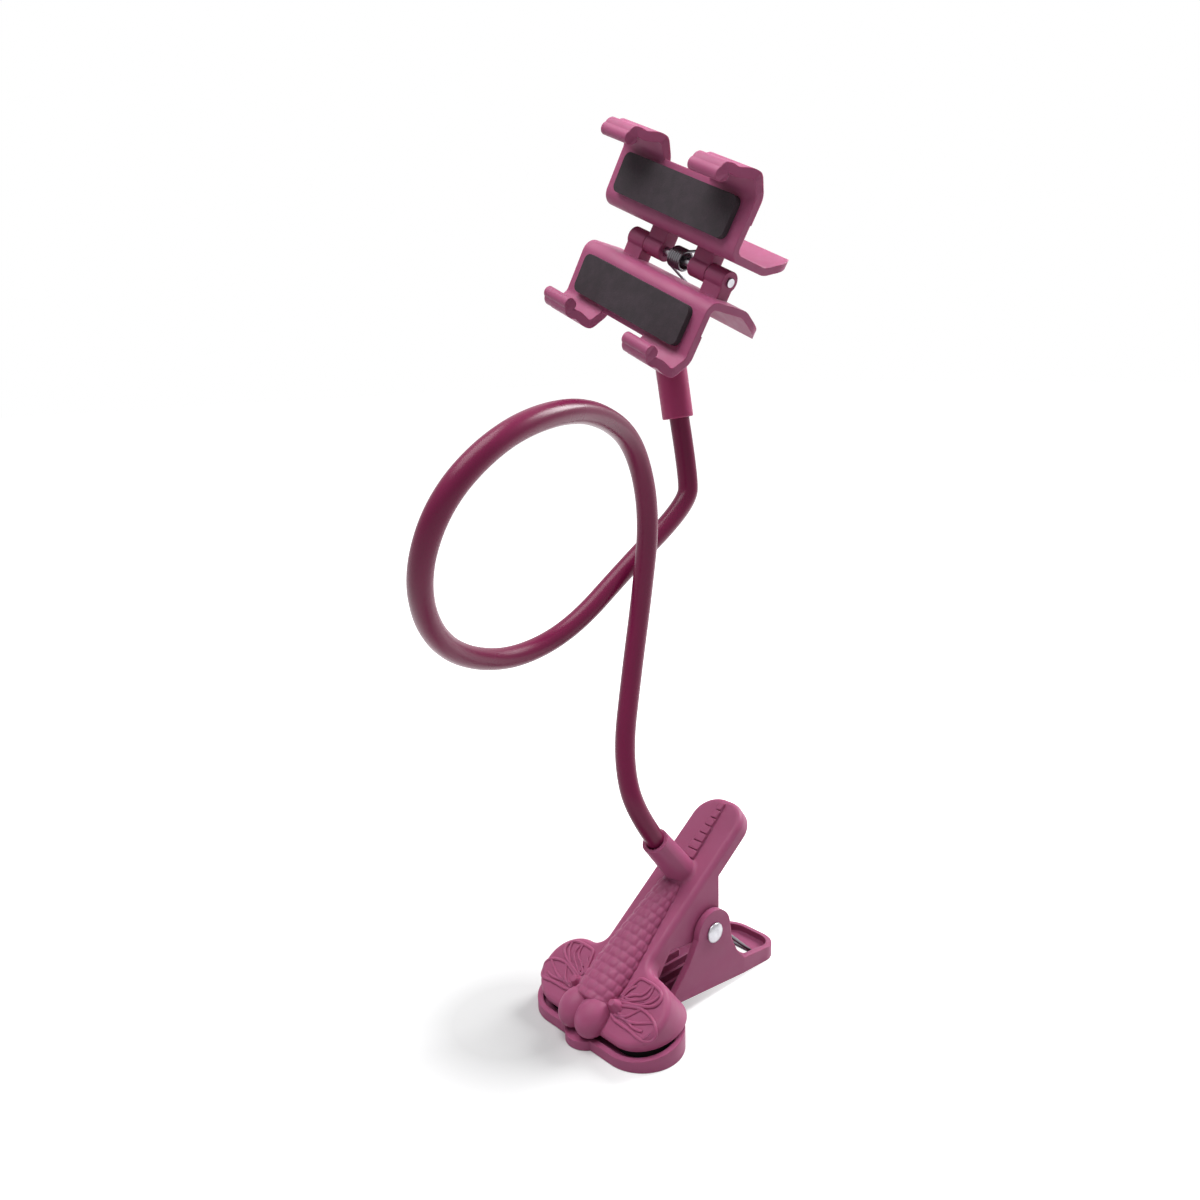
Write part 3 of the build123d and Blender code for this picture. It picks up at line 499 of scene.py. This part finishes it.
# The upper jaw's own frame
rise = math.radians(JAW_RISE)
jaw_along = Vector((0.0, math.cos(rise), math.sin(rise)))
jaw_normal = Vector((0.0, -math.sin(rise), math.cos(rise)))
jaw_origin = Vector((0.0, JAW_FRONT_Y, JAW_FRONT_Z))


def in_jaw(x, along, height):
    """A place across, along and above the upper jaw's top face."""
    return (jaw_origin + Vector((x, 0.0, 0.0)) + jaw_along * along + jaw_normal * height) * MM


def face_height(x, along):
    """Height of the lobes' top, which drops round their outer edge."""
    out = max(abs(x) - LOBE_X, 0.0)
    inside = min(max(LOBE_RADIUS - math.hypot(out, along - LOBE_Y), 0.0), LOBE_EDGE)
    if out == 0.0 and along > LOBE_Y:
        return 0.0
    return math.sqrt(LOBE_EDGE ** 2 - (LOBE_EDGE - inside) ** 2) - LOBE_EDGE


# The upper jaw as moulded: the part's own shape, with its plain veins let down into the face
jaw_mesh = nodes["upper_jaw"].data.copy()
jaw_mesh.name = "jaw_moulding"
for vertex in jaw_mesh.vertices:
    offset = vertex.co / MM - jaw_origin
    along, height = offset.dot(jaw_along), offset.dot(jaw_normal)
    carved = CARVED_ALONG[0] < along < CARVED_ALONG[1] and CARVED_HEIGHT[0] < height < CARVED_HEIGHT[1]
    if carved and abs(offset.x) > CARVED_FROM_X:
        level = face_height(offset.x, along)
        vertex.co = in_jaw(offset.x, along, level - CARVED_SINK if level < 0.0 else level)
jaw_mesh.update()
jaw_moulding = put("jaw_moulding", jaw_mesh)
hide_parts("upper_jaw")


# Its wings: rounded beads that follow the lobes over their edge, and a thin skin inside them
def wing_runs(lines):
    """Control points of the beads along these lines, on both lobes."""
    return [
        [in_jaw(side * x, along, face_height(x, along) + BEAD_LIFT) for x, along in line]
        for side in (1, -1)
        for line in lines
    ]


def wing_skin(side, edge):
    """Points and faces of a thin skin that fills a wing, in rings from its middle to its edge."""
    middle = sum((Vector(corner) for corner in edge), Vector((0.0, 0.0))) / len(edge)
    border = []
    for corner, after in zip(edge, edge[1:] + edge[:1]):
        border += [Vector(corner).lerp(Vector(after), step / SKIN_STEPS) for step in range(SKIN_STEPS)]
    points = []
    for ring in range(1, SKIN_RINGS + 1):
        for spot in border:
            x, along = middle.lerp(spot, SKIN_REACH * ring / SKIN_RINGS)
            points.append(in_jaw(side * x, along, face_height(x, along) + SKIN_LIFT))
    count = len(border)
    faces = [tuple(range(count))]
    for ring in range(SKIN_RINGS - 1):
        for step in range(count):
            first, second = ring * count + step, ring * count + (step + 1) % count
            faces.append((first, first + count, second + count, second))
    return points, faces if side < 0 else [tuple(reversed(face)) for face in faces]


skin_points, skin_faces = [], []
for side in (1, -1):
    for edge in WING_EDGES:
        points, faces = wing_skin(side, edge)
        skin_faces += [tuple(corner + len(skin_points) for corner in face) for face in faces]
        skin_points += points
wing_skins = smooth_piece("wing_skins", skin_points, skin_faces)
wing_edges = tube("wing_edges", wing_runs(WING_EDGES), EDGE_BEAD * MM, BEAD_RESOLUTION, BEAD_ROUNDNESS)
wing_veins = tube("wing_veins", wing_runs(WING_VEINS), VEIN_BEAD * MM, BEAD_RESOLUTION, BEAD_ROUNDNESS)


# Its body: rows of soft staggered scales
def body_size(station):
    """The body's half-width and crown at a station along the jaw."""
    for (near, half, crown), (far, far_half, far_crown) in zip(BODY_SECTIONS, BODY_SECTIONS[1:]):
        if station <= far:
            share = (station - near) / (far - near)
            return half + share * (far_half - half), crown + share * (far_crown - crown)
    return BODY_SECTIONS[-1][1:]


def scale_lift(station, angle, radius):
    """How far a scale stands out: a pillow with a soft border, a little higher at its rear."""
    ring, share = divmod((station - RING_FIRST) / RING_PITCH, 1.0)
    place = (angle / SCALE_ANGLE + RING_STAGGER * (ring % 2)) % 1.0
    to_ring = min(share, 1.0 - share) * RING_PITCH
    to_side = min(place, 1.0 - place) * math.radians(SCALE_ANGLE) * radius
    lift = SCALE_DEPTH + SCALE_TILT * share
    for distance in (to_ring, to_side):
        soft = min(1.0, distance / SCALE_EDGE)
        lift *= soft * (2.0 - soft)
    return lift


rows = round((BODY_SECTIONS[-1][0] - BODY_SECTIONS[0][0]) / BODY_STEP)
columns = round(2.0 * BODY_FOOT / BODY_TURN)
body_points = []
for row in range(rows + 1):
    station = BODY_SECTIONS[0][0] + row * BODY_STEP
    half, crown = body_size(station)
    for column in range(columns + 1):
        angle = -BODY_FOOT + column * BODY_TURN
        lift = scale_lift(station, angle, (half + crown) / 2)
        turn = math.radians(angle)
        body_points.append(in_jaw((half + lift) * math.sin(turn), station, (crown + lift) * math.cos(turn)))
width = columns + 1
body_faces = []
for row in range(rows):
    for column in range(width):
        first, second = row * width + column, row * width + (column + 1) % width
        body_faces.append((first, second, second + width, first + width))
body_faces.append(tuple(reversed(range(width))))
body_faces.append(tuple(range(rows * width, (rows + 1) * width)))
body = smooth_piece("body_scales", body_points, body_faces)
for piece in (jaw_moulding, wing_edges, wing_veins, wing_skins, body):
    paint(piece, rose)
    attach(piece, "clip_upper")

# Rivet caps: shallow turned domes with a rounded rim, against the ears
for cap_name, side in (("rivet_cap_right", 1), ("rivet_cap_left", -1)):
    low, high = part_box(cap_name)
    foot_x = low[0] / MM if side > 0 else high[0] / MM
    cap = turned(cap_name + "_dome", Vector((foot_x, PIVOT_Y, PIVOT_Z)), Vector((side, 0.0, 0.0)), CAP_PROFILE)
    paint(cap, plated)
    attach(cap, "clip_lower")
    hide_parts(cap_name)

# The arm: one smooth tube from the boss, round the loop and into the sleeve
lean = math.radians(JAW_RISE + BOSS_LEAN)
boss_foot = Vector((
    0.0,
    JAW_FRONT_Y + BOSS_STATION * math.cos(rise),
    JAW_FRONT_Z + BOSS_STATION * math.sin(rise),
))
boss_axis = Vector((0.0, -math.sin(lean), math.cos(lean)))
sleeve_up = Vector((
    math.sin(math.radians(SLEEVE_LEAN_X)),
    math.sin(math.radians(SLEEVE_LEAN_Y)),
    math.cos(math.radians(SLEEVE_LEAN_X)),
)).normalized()
arm_points = [boss_foot + boss_axis * ARM_SEAT, boss_foot + boss_axis * ARM_FIRST_CORNER]
arm_points += [Vector(corner) for corner in ARM_ROUTE]
sleeve_foot = Vector(BALL) - sleeve_up * SLEEVE_REACH
last_corner = sleeve_foot - sleeve_up * ARM_LAST_CORNER + Vector(LAST_CORNER_SHIFT)
arm_points.append(arm_points[-1].lerp(last_corner, LAST_BEND[0]))
arm_points.append(last_corner.lerp(sleeve_foot, LAST_BEND[1]))
arm_points.append(Vector(BALL) - sleeve_up * (SLEEVE_REACH - SLEEVE_GRIP))
arm = tube("gooseneck_tube", [[point * MM for point in arm_points]], ARM_RADIUS * MM, ARM_RESOLUTION)
paint(arm, wine)
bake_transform(arm)
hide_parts("gooseneck_sleeve", "gooseneck_core")

# The moulded sleeve over the arm's end
connector = turned("connector_cover", sleeve_foot, sleeve_up, CONNECTOR_PROFILE)
paint(connector, wine_hard)
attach(connector, "arm")
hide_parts("connector_sleeve")


# The clip's spring: two coils with a leg each under the beam, and the crossbar that the handle carries
def coil_place(side):
    """Places round one coil of the clip's spring; the wire moves inwards by its own width each turn."""
    def place(angle, radius):
        turn = math.radians(angle)
        x = COIL_INNER_X + (COIL_EXIT + COIL_SWEEP - angle) * COIL_PITCH
        return Vector((side * x, PIVOT_Y + radius * math.cos(turn), PIVOT_Z + radius * math.sin(turn))) * MM
    return place


leg_foot_y = JAW_FRONT_Y + LEG_STATION * math.cos(rise) + LEG_DEPTH * math.sin(rise)
leg_foot_z = JAW_FRONT_Z + LEG_STATION * math.sin(rise) - LEG_DEPTH * math.cos(rise)
coil_runs, bar_run = [], []
for side in (1, -1):
    foot = Vector((side * COIL_INNER_X, leg_foot_y, leg_foot_z)) * MM
    turns = coil_points(COIL_EXIT, COIL_EXIT + COIL_SWEEP, COIL_RADIUS, coil_place(side))
    coil_runs.append(turns + [turns[-1].lerp(foot, share) for share in LEG_CONTROLS] + [foot])
    start = coil_points(COIL_EXIT + QUARTER_TURN, COIL_EXIT, COIL_RADIUS, coil_place(side))
    corner = Vector((side * BAR_HALF, BAR_Y, BAR_Z)) * MM
    along = (start[-1] - corner).normalized() * BAR_BEND * MM
    inward = Vector((-side * BAR_BEND * MM, 0.0, 0.0))
    half = start + [start[-1].lerp(corner, LEG_CONTROL), corner + along, corner, corner + inward]
    bar_run += half if side > 0 else list(reversed(half))
coils = tube("clip_spring_coils", coil_runs, COIL_WIRE / 2 * MM, WIRE_RESOLUTION)
crossbar = tube("clip_spring_bar", [bar_run], COIL_WIRE * MOVING_LEG * MM, WIRE_RESOLUTION)
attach(coils, "clip_upper")
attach(crossbar, "clip_lower")

# The cradle's own frame
yaw = Matrix.Rotation(math.radians(CRADLE_YAW), 3, "Z")
pitch = math.radians(CRADLE_PITCH)
roll = math.radians(CRADLE_ROLL)
cradle_front = yaw @ Vector((0.0, -math.cos(pitch), math.sin(pitch)))
cradle_rise = yaw @ Vector((0.0, math.sin(pitch), math.cos(pitch)))
cradle_along = yaw @ Vector((math.cos(roll), 0.0, 0.0)) - cradle_rise * math.sin(roll)
cradle_up = cradle_front.cross(cradle_along)
cradle_origin = Vector(BALL) + cradle_up * CUP_OFFSET + cradle_front * CUP_DEPTH


def in_cradle(along, up, front):
    """A place along the cradle, up it and before its front face."""
    return (cradle_origin + cradle_along * along + cradle_up * up + cradle_front * front) * MM


# The cradle's halves as moulded: the part's own shapes, with claws that narrow towards their hooks
def claw_shift(narrows, along, up, front):
    """How far a place on a claw's end moves along the cradle."""
    if abs(up) < CLAW_FROM_UP or front < CLAW_FRONT[0]:
        return 0.0
    share = min(1.0, (front - CLAW_FRONT[0]) / (CLAW_FRONT[1] - CLAW_FRONT[0]))
    at_right = along > math.copysign(CLAW_MIDDLE, along)
    return -narrows[1] * share if at_right else narrows[0] * share


for node_name, body_name in (("cradle_lower", "cradle_base"), ("cradle_upper", "cradle_top")):
    mesh = nodes[node_name].data.copy()
    mesh.name = node_name + "_moulding"
    normals = [Vector(corner.vector) for corner in mesh.corner_normals]
    moved = set()
    for vertex in mesh.vertices:
        offset = vertex.co / MM - cradle_origin
        along = offset.dot(cradle_along)
        up, front = offset.dot(cradle_up), offset.dot(cradle_front)
        shift = claw_shift(CLAW_NARROWS[node_name], along, up, front)
        if shift:
            moved.add(vertex.index)
            vertex.co += cradle_along * shift * MM
    mesh.update()
    for polygon in mesh.polygons:
        if moved.intersection(polygon.vertices):
            for corner in polygon.loop_indices:
                if abs(normals[corner].dot(cradle_along)) > CLAW_END_FACING:
                    normals[corner] = polygon.normal.copy()
    mesh.normals_split_custom_set(normals)
    half = put(node_name + "_moulding", mesh)
    paint(half, rose)
    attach(half, body_name)
    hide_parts(node_name)


# The cradle's spring: a coil and a leg on the lower half, and the other leg on the upper half
def grip_place(angle, radius):
    """A place round the coil; the wire moves along the pin by its own width each turn."""
    turn = math.radians(angle)
    along = (GRIP_SWEEP / 2 - angle) * GRIP_PITCH
    return in_cradle(along, radius * math.cos(turn), radius * math.sin(turn) - HINGE_DEPTH)


leg_along = GRIP_SWEEP / 2 * GRIP_PITCH
leg_out, leg_back = GRIP_LEG
grip_turns = coil_points(0.0, GRIP_SWEEP, GRIP_RADIUS, grip_place)
low_foot = in_cradle(-leg_along, -leg_out, leg_back)
high_foot = in_cradle(leg_along, leg_out, leg_back)
coil_run = grip_turns + [grip_turns[-1].lerp(low_foot, LEG_CONTROL), low_foot]
grip_coil = tube("grip_spring_coil", [coil_run], GRIP_WIRE / 2 * MM, WIRE_RESOLUTION)
high_start = coil_points(QUARTER_TURN, 0.0, GRIP_RADIUS, grip_place)
leg_run = high_start + [high_start[-1].lerp(high_foot, LEG_CONTROL), high_foot]
grip_leg = tube("grip_spring_leg", [leg_run], GRIP_WIRE * MOVING_LEG * MM, WIRE_RESOLUTION)
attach(grip_coil, "cradle_base")
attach(grip_leg, "cradle_top")
for wire in (coils, crossbar, grip_coil, grip_leg):
    paint(wire, spring_steel)
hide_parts("clip_spring")
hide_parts("clip_spring")
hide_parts("grip_spring")
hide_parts("grip_spring")

# Camera
camera_data = bpy.data.cameras.new("photo_camera")
camera_data.sensor_fit = "HORIZONTAL"
camera_data.sensor_width = SENSOR
camera_data.lens = FOCAL_PIXELS / IMAGE_SIZE * SENSOR
camera_data.clip_start = CAMERA_CLIP
camera = put("photo_camera", camera_data)
right = Vector(CAMERA_RIGHT).normalized()
up = (-Vector(CAMERA_DOWN)).normalized()
back = right.cross(up).normalized()
up = back.cross(right)
camera.matrix_world = Matrix.Translation(CAMERA_AT) @ Matrix((right, up, back)).transposed().to_4x4()
bpy.context.scene.camera = camera


def area_light(name, place, size, power):
    """A rectangular lamp that faces the part."""
    data = bpy.data.lights.new(name, "AREA")
    data.shape = "RECTANGLE"
    data.size, data.size_y = size
    data.energy = power
    aim = Vector(LAMP_TARGET) - Vector(place)
    turn = aim.to_track_quat("-Z", "Y").to_matrix().to_4x4()
    put(name, data).matrix_world = Matrix.Translation(place) @ turn


area_light("overhead", OVERHEAD_AT, OVERHEAD_SIZE, OVERHEAD_POWER)
area_light("back", BACK_AT, BACK_SIZE, BACK_POWER)


def seen_directly(tree):
    """1 for what the camera sees, straight or in a reflection or through glass, and 0 for light."""
    path = tree.nodes.new("ShaderNodeLightPath")
    total = path.outputs["Is Camera Ray"]
    for name in ("Is Glossy Ray", "Is Transmission Ray"):
        node = tree.nodes.new("ShaderNodeMath")
        node.operation = "MAXIMUM"
        tree.links.new(total, node.inputs[0])
        tree.links.new(path.outputs[name], node.inputs[1])
        total = node.outputs[0]
    return total


# White world with a soft grey fill
world = bpy.data.worlds.new("studio")
bpy.context.scene.world = world
world.use_nodes = True
tree = world.node_tree
tree.nodes.clear()
fill = tree.nodes.new("ShaderNodeBackground")
fill.inputs["Color"].default_value = FILL_COLOUR
fill.inputs["Strength"].default_value = FILL_STRENGTH
white = tree.nodes.new("ShaderNodeBackground")
white.inputs["Color"].default_value = WHITE
white.inputs["Strength"].default_value = 1.0
choice = tree.nodes.new("ShaderNodeMixShader")
tree.links.new(seen_directly(tree), choice.inputs[0])
tree.links.new(fill.outputs[0], choice.inputs[1])
tree.links.new(white.outputs[0], choice.inputs[2])
world_output = tree.nodes.new("ShaderNodeOutputWorld")
tree.links.new(choice.outputs[0], world_output.inputs["Surface"])

# Pale floor that keeps the cast shadow and glows white further out. The glow is least round the shadow's middle, so
# the floor there is darker with painted shade as well as the cast shadow.
floor_mesh = bpy.data.meshes.new("floor")
floor_corners = [(x * FLOOR_HALF, y * FLOOR_HALF, 0.0) for x, y in ((-1, -1), (1, -1), (1, 1), (-1, 1))]
floor_mesh.from_pydata(floor_corners, [], [(0, 1, 2, 3)])
floor = put("floor", floor_mesh)
floor.location = (*SHADOW_AT, FLOOR_Z)
floor_material = bpy.data.materials.new("pale_floor")
floor_material.use_nodes = True
tree = floor_material.node_tree
tree.nodes.clear()
matt = tree.nodes.new("ShaderNodeBsdfDiffuse")
matt.inputs["Color"].default_value = FLOOR_GREY
glow = tree.nodes.new("ShaderNodeEmission")
reach = tree.nodes.new("ShaderNodeVectorMath")
reach.operation = "LENGTH"
tree.links.new(tree.nodes.new("ShaderNodeTexCoord").outputs["Object"], reach.inputs[0])
# the glow rises with distance from the shadow's middle: painted shade near it, white further out
far = tree.nodes.new("ShaderNodeMapRange")
for socket, value in zip(("From Min", "From Max", "To Min", "To Max"), FLOOR_GLOW):
    far.inputs[socket].default_value = value
tree.links.new(reach.outputs["Value"], far.inputs["Value"])
lift = tree.nodes.new("ShaderNodeMath")
lift.operation = "MULTIPLY"
tree.links.new(seen_directly(tree), lift.inputs[0])
tree.links.new(far.outputs["Result"], lift.inputs[1])
tree.links.new(lift.outputs[0], glow.inputs["Strength"])
both = tree.nodes.new("ShaderNodeAddShader")
tree.links.new(matt.outputs[0], both.inputs[0])
tree.links.new(glow.outputs[0], both.inputs[1])
floor_output = tree.nodes.new("ShaderNodeOutputMaterial")
tree.links.new(both.outputs[0], floor_output.inputs["Surface"])
floor_mesh.materials.append(floor_material)

bpy.context.scene.view_settings.view_transform = "Standard"
